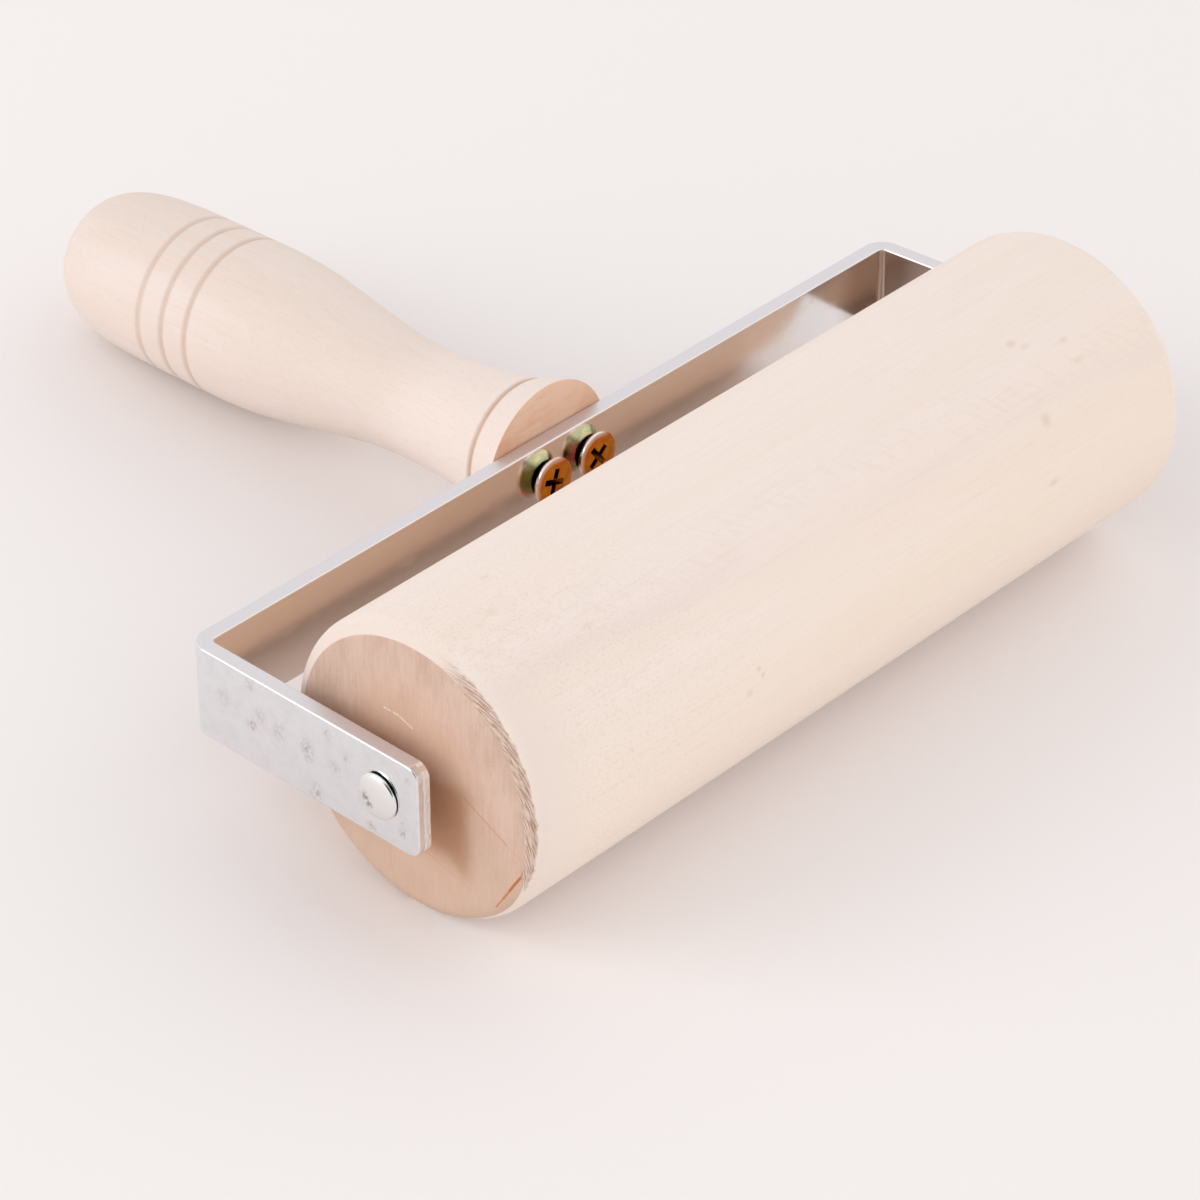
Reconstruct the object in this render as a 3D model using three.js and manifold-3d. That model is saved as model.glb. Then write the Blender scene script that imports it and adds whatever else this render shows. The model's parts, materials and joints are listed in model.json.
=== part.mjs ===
// Hand dough roller: a plain wooden roller turns on two pins between the arms of a bent steel
// bracket, and two wood screws hold a turned wooden handle to the bracket's back.
// Millimetres, +Z up. X runs along the roller, +Y points to the handle. The tool lies at rest on
// the roller and the handle, with the origin under the middle of its box, on the surface.
import * as THREE from 'three';
import { mergeVertices } from 'three/addons/utils/BufferGeometryUtils.js';
import Module from 'manifold-3d';

const wasm = await Module();
wasm.setup();

// Roller
const rollerLength = 150;
const rollerDiameter = 48;
const rollerEdgeRound = 3;
const rollerSides = 64;

// Bracket, bent from flat steel strip
const stripWidth = 15.2;
const stripThickness = 2.6;
const stripEdgeChamfer = 0.35;
const bendOutsideRadius = 3.6;
const armEndRound = 2.2;
const armPastAxle = 7.8;
const armSplay = THREE.MathUtils.degToRad(2.5);
const leftRimGap = 3.1;
const rightRimGap = 0.7;
const rollerBackGap = 13.6;

// Axle pins
const pinDiameter = 4.5;
const pinLength = 26;
const pinTipChamfer = 0.8;
const pinHeadDiameter = 7.4;
const pinHeadRim = 0.3;
const pinHeadDome = 0.7;
const pinSides = 24;

// Wood screws
const screwLength = 18;
const screwThreadDiameter = 4;
const screwCoreDiameter = 2.7;
const screwPitch = 1.8;
const screwTipLength = 4;
const screwHeadDiameter = 8;
const screwHeadRim = 0.5;
const screwHoleDiameter = 5.5;
const screwSpacing = 10;
const screwSides = 16;
const recessSpan = 4.4;
const recessWingWidth = 1;
const recessDepth = 1.7;
const recessTipSpan = 1.4;

// Handle, one turned piece
const handleLength = 101.2;
const handleFrontDiameter = 26.8;
const handleFrontRound = 0.5;
const handleWaistDiameter = 18.3;
const handleWaistPlace = 26;
const handleBellyDiameter = 26.9;
const handleBellyPlace = 64;
const handleSide = -1;
const handleLift = 1.8;
const frontGroovePlace = 6.2;
const buttGroovePlace = 66.6;
const buttGrooveSpacing = 5.3;
const buttGrooveCount = 3;
const grooveWidth = 1.6;
const grooveDepth = 0.35;
const handleSides = 40;

// Clearances
const seatGap = 0.3;
const pinRunningGap = 0.25;
const pinHeadGap = 0.3;
const boreEndGap = 1;

// Shape of the handle's curves
const flarePower = 2.5;
const swellSkew = 0.95;
const buttPower = 5.5;
const buttRoundness = 3.2;

// Sizes that follow from those above
const rollerRadius = rollerDiameter / 2;
const pinRadius = pinDiameter / 2;
const pinHeadRadius = pinHeadDiameter / 2;
const screwHeadRadius = screwHeadDiameter / 2;
const screwThreadRadius = screwThreadDiameter / 2;
const screwCoreRadius = screwCoreDiameter / 2;
const bendInsideRadius = Math.max(bendOutsideRadius - stripThickness, stripEdgeChamfer);
const bendRadius = bendInsideRadius + stripThickness;
const backInside = rollerRadius + rollerBackGap;
const backOutside = backInside + stripThickness;
const splayTan = Math.tan(armSplay);
const splayCos = Math.cos(armSplay);
const armThicknessAlongX = stripThickness / splayCos;
const leftSideGap = leftRimGap + splayTan * rollerRadius;
const rightSideGap = rightRimGap + splayTan * rollerRadius;
const leftArmAtAxle = rollerLength / 2 + leftSideGap + armThicknessAlongX;
const rightArmAtAxle = rollerLength / 2 + rightSideGap + armThicknessAlongX;
const bracketMiddle = (rightArmAtAxle - leftArmAtAxle) / 2;
const screwXs = [-1, 1].map((side) => bracketMiddle + (side * screwSpacing) / 2);
const handleX = bracketMiddle + handleSide;
const handleFront = backOutside + seatGap;
const coneAtHole = screwHoleDiameter / 2 - seatGap * Math.SQRT2;
const screwHeadProud = screwHeadRim + screwHeadRadius - coneAtHole;
const screwStart = backInside - screwHeadProud;
const pilotRadius = screwThreadRadius + seatGap;
const pilotDepth = screwStart + screwLength + boreEndGap - handleFront;

// Finishes
const rollerWood = { color: 0xe9cdb4, roughness: 0.62, metalness: 0 };
const handleWood = { color: 0xe3c4a8, roughness: 0.55, metalness: 0 };
const zincSteel = { color: 0xc9c9cc, roughness: 0.32, metalness: 1 };
const pinSteel = { color: 0xd2d2cf, roughness: 0.22, metalness: 1 };
const yellowZinc = { color: 0xc08a2e, roughness: 0.3, metalness: 1 };

function makeMesh(name, geometry, finish) {
  const mesh = new THREE.Mesh(geometry, new THREE.MeshStandardMaterial(finish));
  mesh.name = name;
  return mesh;
}

// A closed geometry with its shared corners merged, as a solid that can be joined or cut
function toSolid(geometry) {
  const bare = geometry.clone();
  bare.deleteAttribute('normal');
  bare.deleteAttribute('uv');
  const merged = mergeVertices(bare, 1e-4);
  const vertProperties = new Float32Array(merged.attributes.position.array);
  const triVerts = new Uint32Array(merged.index.array);
  return new wasm.Manifold(new wasm.Mesh({ numProp: 3, vertProperties, triVerts }));
}

function toGeometry(solid) {
  const { vertProperties, triVerts } = solid.getMesh();
  const geometry = new THREE.BufferGeometry();
  geometry.setAttribute('position', new THREE.BufferAttribute(vertProperties, 3));
  geometry.setIndex(new THREE.BufferAttribute(triVerts, 1));
  geometry.computeVertexNormals();
  return geometry;
}

function lathe(points, sides) {
  return new THREE.LatheGeometry(points.map(([radius, along]) => new THREE.Vector2(radius, along)), sides);
}

// A drill along +Y that starts at the given point
function drillAlongY(radius, x, start, z, length, sides) {
  const drill = new THREE.CylinderGeometry(radius, radius, length, sides);
  drill.translate(x, start + length / 2, z);
  return toSolid(drill);
}

// A quarter round from one direction to another, as [radius, along] points
function quarterRound(centreRadius, centreAlong, round, fromAngle, toAngle, steps) {
  const points = [];
  for (let step = 0; step <= steps; step += 1) {
    const angle = fromAngle + ((toAngle - fromAngle) * step) / steps;
    points.push([centreRadius + round * Math.cos(angle), centreAlong + round * Math.sin(angle)]);
  }
  return points;
}

// Roller with a blind bore in each end for its pin
function makeRoller() {
  const half = rollerLength / 2;
  const boreRadius = pinRadius + seatGap;
  const pinStickOut = pinHeadGap + armThicknessAlongX;
  const leftDepth = pinLength - pinStickOut - leftSideGap + boreEndGap;
  const rightDepth = pinLength - pinStickOut - rightSideGap + boreEndGap;
  const edge = rollerRadius - rollerEdgeRound;
  const roundSteps = 4;
  const points = [
    [0, -half + leftDepth],
    [boreRadius, -half + leftDepth],
    [boreRadius, -half],
    ...quarterRound(edge, -half + rollerEdgeRound, rollerEdgeRound, -Math.PI / 2, 0, roundSteps),
    ...quarterRound(edge, half - rollerEdgeRound, rollerEdgeRound, 0, Math.PI / 2, roundSteps),
    [boreRadius, half],
    [boreRadius, half - rightDepth],
    [0, half - rightDepth],
  ];
  const geometry = lathe(points, rollerSides);
  geometry.rotateZ(-Math.PI / 2);
  return makeMesh('roller', geometry, rollerWood);
}

// Pin with a flattened dome head outside its arm, its shank pressed into the roller
function makePin(name, side, armAtAxle) {
  const domeSteps = 5;
  const points = [
    [0, -pinLength],
    [pinRadius - pinTipChamfer, -pinLength],
    [pinRadius, -pinLength + pinTipChamfer],
    [pinRadius, 0],
    [pinHeadRadius, 0],
  ];
  for (let step = 0; step < domeSteps; step += 1) {
    const angle = (step / domeSteps) * (Math.PI / 2);
    points.push([pinHeadRadius * Math.sqrt(Math.cos(angle)), pinHeadRim + pinHeadDome * Math.sin(angle)]);
  }
  points.push([0, pinHeadRim + pinHeadDome]);
  const geometry = lathe(points, pinSides);
  geometry.rotateZ((-side * Math.PI) / 2);
  geometry.translate(side * (armAtAxle + pinHeadGap), 0, 0);
  return makeMesh(name, geometry, pinSteel);
}

// The strip's bent outline seen from above: back across, one arm down each side
function bracketOutline() {
  const leftBack = -(leftArmAtAxle - splayTan * backOutside);
  const rightBack = rightArmAtAxle - splayTan * backOutside;
  const bendInset = bendRadius / splayCos - splayTan * bendRadius;
  const leftCentre = leftBack + bendInset;
  const rightCentre = rightBack - bendInset;
  const bendY = backOutside - bendRadius;
  const freeEnd = -armPastAxle - armEndRound;
  const spread = splayTan * -freeEnd;
  const quarter = Math.PI / 2;
  const outline = new THREE.Shape();
  outline.moveTo(-leftArmAtAxle - spread + armThicknessAlongX, freeEnd);
  outline.lineTo(-leftArmAtAxle - spread, freeEnd);
  outline.absarc(leftCentre, bendY, bendRadius, Math.PI - armSplay, quarter, true);
  outline.absarc(rightCentre, bendY, bendRadius, quarter, armSplay, true);
  outline.lineTo(rightArmAtAxle + spread, freeEnd);
  outline.lineTo(rightArmAtAxle + spread - armThicknessAlongX, freeEnd);
  outline.absarc(rightCentre, bendY, bendInsideRadius, armSplay, quarter, false);
  outline.absarc(leftCentre, bendY, bendInsideRadius, quarter, Math.PI - armSplay, false);
  outline.closePath();
  return outline;
}

// The arms' side outline, with rounded corners at the free end and room to spare at the back
function armSideOutline() {
  const half = stripWidth / 2;
  const back = backOutside + stripThickness;
  const outline = new THREE.Shape();
  outline.moveTo(back, -half);
  outline.lineTo(back, half);
  outline.absarc(-armPastAxle + armEndRound, half - armEndRound, armEndRound, Math.PI / 2, Math.PI, false);
  outline.absarc(-armPastAxle + armEndRound, -half + armEndRound, armEndRound, Math.PI, Math.PI * 1.5, false);
  outline.closePath();
  return outline;
}

function makeBracket() {
  const strip = new THREE.ExtrudeGeometry(bracketOutline(), {
    depth: stripWidth - 2 * stripEdgeChamfer,
    curveSegments: 6,
    bevelThickness: stripEdgeChamfer,
    bevelSize: stripEdgeChamfer,
    bevelOffset: -stripEdgeChamfer,
    bevelSegments: 1,
  });
  strip.translate(0, 0, -stripWidth / 2 + stripEdgeChamfer);

  const reach = 2 * Math.max(leftArmAtAxle, rightArmAtAxle) + 4 * stripWidth;
  const sideBlock = new THREE.ExtrudeGeometry(armSideOutline(), { depth: reach, curveSegments: 4, bevelEnabled: false });
  sideBlock.rotateZ(Math.PI / 2);
  sideBlock.rotateY(Math.PI / 2);
  sideBlock.translate(-reach / 2, 0, 0);

  const axleDrill = new THREE.CylinderGeometry(pinRadius + pinRunningGap, pinRadius + pinRunningGap, reach, pinSides);
  axleDrill.rotateZ(Math.PI / 2);

  let solid = toSolid(strip).intersect(toSolid(sideBlock)).subtract(toSolid(axleDrill));
  for (const x of screwXs) {
    const start = backInside - stripThickness;
    const length = 3 * stripThickness;
    solid = solid.subtract(drillAlongY(screwHoleDiameter / 2, x, start, handleLift, length, screwSides));
  }
  return makeMesh('bracket', toGeometry(solid), zincSteel);
}

// Radius of the thread at an angle and a length along the screw, a ridge that climbs one pitch a turn
function threadRadius(angle, along) {
  const turn = along / screwPitch + angle / (2 * Math.PI);
  const ridge = Math.max(0, 1 - 3 * Math.abs(turn - Math.floor(turn) - 0.5));
  return screwCoreRadius + (screwThreadRadius - screwCoreRadius) * ridge;
}

// Rows of [along, radius at an angle], closed by a point at both ends, as a geometry along +Y
function turnedRows(rows, sides) {
  const positions = [0, rows[0].along, 0];
  for (const row of rows) {
    for (let side = 0; side < sides; side += 1) {
      const angle = (side / sides) * 2 * Math.PI;
      const radius = row.radius(angle);
      positions.push(radius * Math.cos(angle), row.along, radius * Math.sin(angle));
    }
  }
  const last = positions.length / 3;
  positions.push(0, rows[rows.length - 1].tip, 0);
  const index = [];
  const at = (row, side) => 1 + row * sides + (side % sides);
  for (let side = 0; side < sides; side += 1) {
    index.push(0, at(0, side), at(0, side + 1));
    for (let row = 0; row + 1 < rows.length; row += 1) {
      index.push(at(row, side), at(row + 1, side), at(row, side + 1));
      index.push(at(row, side + 1), at(row + 1, side), at(row + 1, side + 1));
    }
    index.push(last, at(rows.length - 1, side + 1), at(rows.length - 1, side));
  }
  const geometry = new THREE.BufferGeometry();
  geometry.setAttribute('position', new THREE.BufferAttribute(new Float32Array(positions), 3));
  geometry.setIndex(index);
  return geometry;
}

// Cross recess with wings that taper towards its bottom
function crossRecess() {
  const margin = recessWingWidth;
  const wing = () => new THREE.BoxGeometry(recessSpan, 2 * recessDepth, recessWingWidth);
  const cross = toSolid(wing()).add(toSolid(wing().rotateY(Math.PI / 2)));
  const slope = (recessSpan - recessTipSpan) / 2 / recessDepth;
  const mouthRadius = recessSpan / 2 + slope * margin;
  const taper = new THREE.CylinderGeometry(recessTipSpan / 2, mouthRadius, recessDepth + margin, screwSides);
  taper.translate(0, (recessDepth - margin) / 2, 0);
  return cross.intersect(toSolid(taper));
}

// Countersunk wood screw, its head at the start and its tip towards +Y
function makeScrew(name, x) {
  const coneEnd = screwHeadRim + screwHeadRadius - screwThreadRadius;
  const threadEnd = screwLength - screwTipLength;
  const rowsPerPitch = 6;
  const round = (radius) => () => radius;
  const rows = [
    { along: 0, radius: round(screwHeadRadius) },
    { along: screwHeadRim, radius: round(screwHeadRadius) },
    { along: coneEnd, radius: round(screwThreadRadius) },
    { along: coneEnd + stripThickness, radius: round(screwThreadRadius) },
  ];
  const threadStart = coneEnd + stripThickness + screwThreadRadius - screwCoreRadius;
  const threadRows = Math.ceil(((threadEnd - threadStart) / screwPitch) * rowsPerPitch);
  for (let row = 0; row <= threadRows; row += 1) {
    const along = threadStart + ((threadEnd - threadStart) * row) / threadRows;
    rows.push({ along, radius: (angle) => threadRadius(angle, along) });
  }
  const tipRows = 4;
  for (let row = 1; row < tipRows; row += 1) {
    const along = threadEnd + (screwTipLength * row) / tipRows;
    const share = 1 - row / tipRows;
    rows.push({ along, radius: (angle) => threadRadius(angle, along) * share });
  }
  rows[rows.length - 1].tip = screwLength;
  const solid = toSolid(turnedRows(rows, screwSides)).subtract(crossRecess());
  const mesh = makeMesh(name, toGeometry(solid), yellowZinc);
  mesh.position.set(x, screwStart, handleLift);
  return mesh;
}

// Outside radius of the handle at a distance behind its front face
function handleRadius(along) {
  const waist = handleWaistDiameter / 2;
  const belly = handleBellyDiameter / 2;
  const front = handleFrontDiameter / 2;
  if (along < handleWaistPlace) {
    return waist + (front - waist) * (1 - along / handleWaistPlace) ** flarePower;
  }
  if (along < handleBellyPlace) {
    const share = (along - handleWaistPlace) / (handleBellyPlace - handleWaistPlace);
    return waist + (belly - waist) * (0.5 - 0.5 * Math.cos(Math.PI * share ** swellSkew));
  }
  const share = Math.min((along - handleBellyPlace) / (handleLength - handleBellyPlace), 1);
  return belly * (1 - share ** buttPower) ** (1 / buttRoundness);
}

// The handle's turned outline as [radius, along] points, from the front face to the butt
function handleOutline() {
  const grooves = [frontGroovePlace];
  for (let groove = 0; groove < buttGrooveCount; groove += 1) {
    grooves.push(buttGroovePlace + groove * buttGrooveSpacing);
  }
  const buttStart = grooves[grooves.length - 1] + 2 * grooveWidth;
  const bodySteps = 20;
  const buttSteps = 9;
  const stations = [];
  for (let step = 0; step <= bodySteps; step += 1) {
    stations.push(handleFrontRound + ((buttStart - handleFrontRound) * step) / bodySteps);
  }
  for (let step = 1; step < buttSteps; step += 1) {
    const share = Math.sin((step / buttSteps) * (Math.PI / 2));
    stations.push(buttStart + (handleLength - buttStart) * share);
  }
  const clear = (along) => grooves.every((place) => Math.abs(along - place) > grooveWidth);
  const points = stations.filter(clear).map((along) => [handleRadius(along), along]);
  for (const place of grooves) {
    points.push([handleRadius(place - grooveWidth / 2), place - grooveWidth / 2]);
    points.push([handleRadius(place) - grooveDepth, place]);
    points.push([handleRadius(place + grooveWidth / 2), place + grooveWidth / 2]);
  }
  points.sort((a, b) => a[1] - b[1]);
  const frontEdge = handleRadius(handleFrontRound) - handleFrontRound;
  return [[0, 0], [frontEdge, 0], ...points, [0, handleLength]];
}

function makeHandle() {
  let solid = toSolid(lathe(handleOutline(), handleSides));
  for (const x of screwXs) {
    const start = -pilotDepth;
    solid = solid.subtract(drillAlongY(pilotRadius, x - handleX, start, 0, 2 * pilotDepth, screwSides));
  }
  const mesh = makeMesh('handle', toGeometry(solid), handleWood);
  mesh.position.set(handleX, handleFront, handleLift);
  return mesh;
}

// Turn about the roller's axis that lays the handle on the surface under the roller
function restingTilt() {
  const tilts = handleOutline().map(([radius, along]) => {
    const away = handleFront + along;
    const below = radius - handleLift;
    return Math.asin(rollerRadius / Math.hypot(away, below)) - Math.atan2(below, away);
  });
  return Math.min(...tilts.filter((tilt) => Number.isFinite(tilt)));
}

const turningGroup = new THREE.Group();
turningGroup.add(makeRoller());
turningGroup.add(makePin('axle_pin_left', -1, leftArmAtAxle));
turningGroup.add(makePin('axle_pin_right', 1, rightArmAtAxle));

const heldGroup = new THREE.Group();
heldGroup.add(makeBracket());
heldGroup.add(makeHandle());
heldGroup.add(makeScrew('handle_screw_left', screwXs[0]));
heldGroup.add(makeScrew('handle_screw_right', screwXs[1]));
heldGroup.rotation.x = -restingTilt();

const doughRoller = new THREE.Group();
doughRoller.add(turningGroup, heldGroup);
doughRoller.updateMatrixWorld(true);
const box = new THREE.Box3().setFromObject(doughRoller, true);
doughRoller.position.set(-(box.min.x + box.max.x) / 2, -(box.min.y + box.max.y) / 2, -box.min.z);

export default doughRoller;
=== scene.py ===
import json
import math
import bpy
from mathutils import Matrix, Vector


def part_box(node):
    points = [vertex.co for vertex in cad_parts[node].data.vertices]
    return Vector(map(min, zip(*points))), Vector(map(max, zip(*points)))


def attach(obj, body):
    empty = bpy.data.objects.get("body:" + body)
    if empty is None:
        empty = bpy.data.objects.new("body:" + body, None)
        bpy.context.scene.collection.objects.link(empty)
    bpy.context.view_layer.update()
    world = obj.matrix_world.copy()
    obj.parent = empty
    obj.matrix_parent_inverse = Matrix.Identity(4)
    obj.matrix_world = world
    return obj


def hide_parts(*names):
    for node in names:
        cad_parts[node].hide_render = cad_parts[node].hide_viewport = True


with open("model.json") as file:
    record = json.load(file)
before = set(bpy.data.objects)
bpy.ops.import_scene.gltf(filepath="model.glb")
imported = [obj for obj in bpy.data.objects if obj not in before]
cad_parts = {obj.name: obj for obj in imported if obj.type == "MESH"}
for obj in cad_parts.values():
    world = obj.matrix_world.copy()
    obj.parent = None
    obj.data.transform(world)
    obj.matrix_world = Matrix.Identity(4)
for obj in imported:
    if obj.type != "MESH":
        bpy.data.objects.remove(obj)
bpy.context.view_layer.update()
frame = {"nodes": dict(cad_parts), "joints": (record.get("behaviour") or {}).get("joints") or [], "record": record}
print("frame loaded:", ", ".join(sorted(frame["nodes"])))

mm = 0.001
weldGap = 0.002 * mm
sameWay = 0.9  # two directions with at least this dot product point the same way
axisX = Vector((1, 0, 0))
axisY = Vector((0, 1, 0))
axle = Vector(frame["joints"][0]["pos_m"])  # middle of the roller's axis
leftArmAxis = Vector(frame["record"]["mounts"][0]["axis"])  # looks out of the left arm's side
armSplay = math.acos(-leftArmAxis.x)
heldTilt = math.atan2(-leftArmAxis.z, leftArmAxis.y)  # bracket and handle lean back onto the handle
rollerPlace = Matrix.Translation(axle)
heldPlace = rollerPlace @ Matrix.Rotation(-heldTilt, 4, "X")


# Small tools for modelling

def pickNothing():
    if bpy.context.mode != "OBJECT":
        setMode("OBJECT")
    bpy.ops.object.select_all(action="DESELECT")


def pickPiece(piece):
    pickNothing()
    piece.select_set(True)
    bpy.context.view_layer.objects.active = piece


def settle(name):
    piece = bpy.context.object
    piece.name = name
    piece.data.name = name
    bpy.ops.object.transform_apply(location=True, rotation=True, scale=True)
    return piece


def setMode(mode):
    bpy.ops.object.mode_set(mode=mode)


def editAll(piece, action="SELECT"):
    pickPiece(piece)
    setMode("EDIT")
    bpy.ops.mesh.select_all(action=action)


def pickParts(piece, kind):
    editAll(piece, "DESELECT")
    bpy.ops.mesh.select_mode(type=kind)
    setMode("OBJECT")


def pickFaces(piece, wanted):
    pickParts(piece, "FACE")
    for face in piece.data.polygons:
        face.select = bool(wanted(face.center, face.normal))
    setMode("EDIT")


def pickEdges(piece, wanted):
    pickParts(piece, "EDGE")
    points = piece.data.vertices
    for edge in piece.data.edges:
        edge.select = bool(wanted(points[edge.vertices[0]].co, points[edge.vertices[1]].co))
    setMode("EDIT")


def applyModifier(piece, kind, **settings):
    pickPiece(piece)
    modifier = piece.modifiers.new(kind.title(), kind)
    for setting, value in settings.items():
        setattr(modifier, setting, value)
    bpy.ops.object.modifier_apply(modifier=modifier.name)


def combine(piece, tool, operation):
    applyModifier(piece, "BOOLEAN", operation=operation, object=tool, solver="EXACT")
    bpy.data.objects.remove(tool)


def addRod(name, radius, start, end, sides):  # a plain rod between two points
    pickNothing()
    along = Vector(end) - Vector(start)
    turn = along.to_track_quat("Z", "Y").to_euler()
    middle = (Vector(start) + Vector(end)) / 2
    bpy.ops.mesh.primitive_cylinder_add(
        vertices=sides, radius=radius, depth=along.length, location=middle, rotation=turn)
    return settle(name)


def extrude(offset):
    bpy.ops.mesh.extrude_region_move(TRANSFORM_OT_translate={"value": offset})


def resize(share, centre):
    bpy.ops.transform.resize(value=(share, share, share), center_override=centre)


def drawOut(origin, axis, rings):  # the picked cap is drawn from the first ring through the others
    along, radius = rings[0]
    for nextAlong, nextRadius in rings[1:]:
        extrude(axis * (nextAlong - along))
        resize(nextRadius / radius, origin + axis * nextAlong)
        along, radius = nextAlong, nextRadius


def turnPiece(name, origin, axis, rings, sides):  # a turned piece, from (along, radius) rings
    (firstAlong, firstRadius), (nextAlong, nextRadius) = rings[:2]
    piece = addRod(name, firstRadius, origin + axis * firstAlong, origin + axis * nextAlong, sides)
    pickFaces(piece, lambda centre, normal: normal.dot(axis) > sameWay)
    resize(nextRadius / firstRadius, origin + axis * nextAlong)
    drawOut(origin, axis, rings[1:])
    setMode("OBJECT")
    return piece


def mendMesh(piece):
    editAll(piece)
    bpy.ops.mesh.remove_doubles(threshold=weldGap)
    bpy.ops.mesh.normals_make_consistent(inside=False)
    setMode("OBJECT")


def finishMesh(piece, smoothAngle=35):
    mendMesh(piece)
    bpy.ops.object.shade_smooth_by_angle(angle=math.radians(smoothAngle))


def placePiece(piece, place):
    pickPiece(piece)
    piece.matrix_world = place
    bpy.ops.object.transform_apply(location=True, rotation=True, scale=True)


def copyPiece(piece, name, place):
    pickPiece(piece)
    bpy.ops.object.duplicate(linked=False)
    copy = settle(name)
    placePiece(copy, place)
    return copy


def dress(piece, material, body, node):
    piece.data.materials.clear()
    piece.data.materials.append(material)
    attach(piece, body)
    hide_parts(node)


# Small tools for materials

def newMaterial(name):
    material = bpy.data.materials.new(name)
    material.use_nodes = True
    tree = material.node_tree
    tree.nodes.clear()
    shader = addNode(tree, "BsdfPrincipled")
    feed("OutputMaterial", {"Surface": shader.outputs["BSDF"]})
    return material, shader


def addNode(tree, kind, inputs=None, **settings):
    node = tree.nodes.new("ShaderNode" + kind)
    for setting, value in settings.items():
        setattr(node, setting, value)
    for socket, value in (inputs or {}).items():
        if isSocket(value):
            tree.links.new(value, node.inputs[socket])
        else:
            node.inputs[socket].default_value = value
    return node


def isSocket(value):
    return isinstance(value, bpy.types.NodeSocket)


def feed(kind, inputs, **settings):  # adds a node to the tree that its inputs come from
    tree = next(value.id_data for value in inputs.values() if isSocket(value))
    return addNode(tree, kind, inputs, **settings)


def pieceCoords(shader, place):  # millimetres in the piece's own frame
    coords = addNode(shader.id_data, "TexCoord").outputs["Object"]
    return feed("Mapping", {
        "Vector": coords,
        "Location": place.to_translation(),
        "Rotation": place.to_euler(),
        "Scale": (mm, mm, mm),
    }, vector_type="TEXTURE").outputs["Vector"]


def stretch(coords, scale, shift=(0, 0, 0)):
    return feed("Mapping", {
        "Vector": coords, "Location": shift, "Scale": scale}).outputs["Vector"]


def turned(coords, degrees):  # about x, y and z
    return feed("Mapping", {
        "Vector": coords, "Rotation": [math.radians(angle) for angle in degrees]}).outputs["Vector"]


def speckle(coords, scale, detail=2.0, rough=0.5, warp=0.0, shift=(0, 0, 0)):
    return feed("TexNoise", {
        "Vector": stretch(coords, scale, shift),
        "Scale": 1.0, "Detail": detail, "Roughness": rough, "Distortion": warp}).outputs["Fac"]


def speckles(coords, settings):  # one noise for each name
    return {name: speckle(coords, *values) for name, values in settings.items()}


def ramp(value, low, high, share=1.0):  # 0 at low, the share at high, with soft ends
    return feed("MapRange", {
        "Value": value, "From Min": low, "From Max": high, "To Max": share,
    }, interpolation_type="SMOOTHSTEP").outputs["Result"]


def turnRamp(angle, low, high):  # the same between two angles in degrees
    return ramp(angle, math.radians(low), math.radians(high))


def calc(operation, first, second=0.0, clamp=False):
    node = feed("Math", {0: first, 1: second}, operation=operation, use_clamp=clamp)
    return node.outputs["Value"]


def plus(first, second):
    return calc("ADD", first, second)


def minus(first, second):
    return calc("SUBTRACT", first, second)


def opposite(share):  # 1 where the share is 0, 0 where it is 1
    return minus(1.0, share)


def apart(value, centre):
    return calc("ABSOLUTE", minus(value, centre))


def times(*factors):
    product = factors[0]
    for factor in factors[1:]:
        product = calc("MULTIPLY", product, factor)
    return product


def weigh(values, weights):  # the sum of the values, each times its weight
    total = 0.0
    for value, weight in zip(values, weights):
        total = plus(total, times(value, weight))
    return total


def between(share, low, high):  # low where the share is 0, high where it is 1
    return feed("MapRange", {
        "Value": share, "To Min": low, "To Max": high}).outputs["Result"]


def vectorCalc(operation, first, second=(0, 0, 0), output="Vector"):
    return feed("VectorMath", {0: first, 1: second}, operation=operation).outputs[output]


def length(coords):
    return vectorCalc("LENGTH", coords, output="Value")


def dot(first, second):
    return vectorCalc("DOT_PRODUCT", first, second, "Value")


def join(x=0.0, y=0.0, z=0.0):
    return feed("CombineXYZ", {"X": x, "Y": y, "Z": z}).outputs["Vector"]


def split(coords):
    return feed("SeparateXYZ", {"Vector": coords}).outputs


def paint(share, under, over):
    under = under if isSocket(under) else (*under, 1)
    over = over if isSocket(over) else (*over, 1)
    return feed("Mix", {0: share, 6: under, 7: over}, data_type="RGBA").outputs[2]


def tint(under, value, over, *fade):  # painted over where the value passes the fade
    return paint(ramp(value, *fade), under, over)


def lineShare(coords, start, end, width, core=0.3):  # 1 in a stroke's core, 0 beside it
    start = Vector(start)
    stroke = Vector(end) - start
    offset = vectorCalc("SUBTRACT", coords, start)
    along = calc("ADD", dot(offset, stroke / stroke.length_squared), clamp=True)
    foot = vectorCalc("MULTIPLY", join(along, along, along), stroke)
    away = length(vectorCalc("SUBTRACT", offset, foot))
    return ramp(away, width, width * core)


def spotShare(coords, centre, size):  # 1 in the middle of a soft spot, sizes along each axis
    scaled = stretch(coords, [1 / reach for reach in size],
                     [-place / reach for place, reach in zip(centre, size)])
    return ramp(length(scaled), 1.0, 0.0)


def bandShare(value, centre, reach, share=1.0):  # the share in the middle of a soft band
    return ramp(apart(value, centre), reach, 0.0, share)


def coat(shader, colour, roughness, height, depth, plain):  # what every material ends with
    bump = feed("Bump", {"Height": height, "Strength": 1.0, "Distance": depth})
    sources = {"Base Color": colour, "Roughness": roughness, "Normal": bump.outputs["Normal"]}
    for socket, source in sources.items():
        shader.id_data.links.new(source, shader.inputs[socket])
    setPlain(shader, plain)


def setPlain(shader, plain):
    for socket, value in plain.items():
        shader.inputs[socket].default_value = value


metal = {"Metallic": 1.0}
bareWood = {"Specular IOR Level": 0.3}


# Roller

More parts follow.
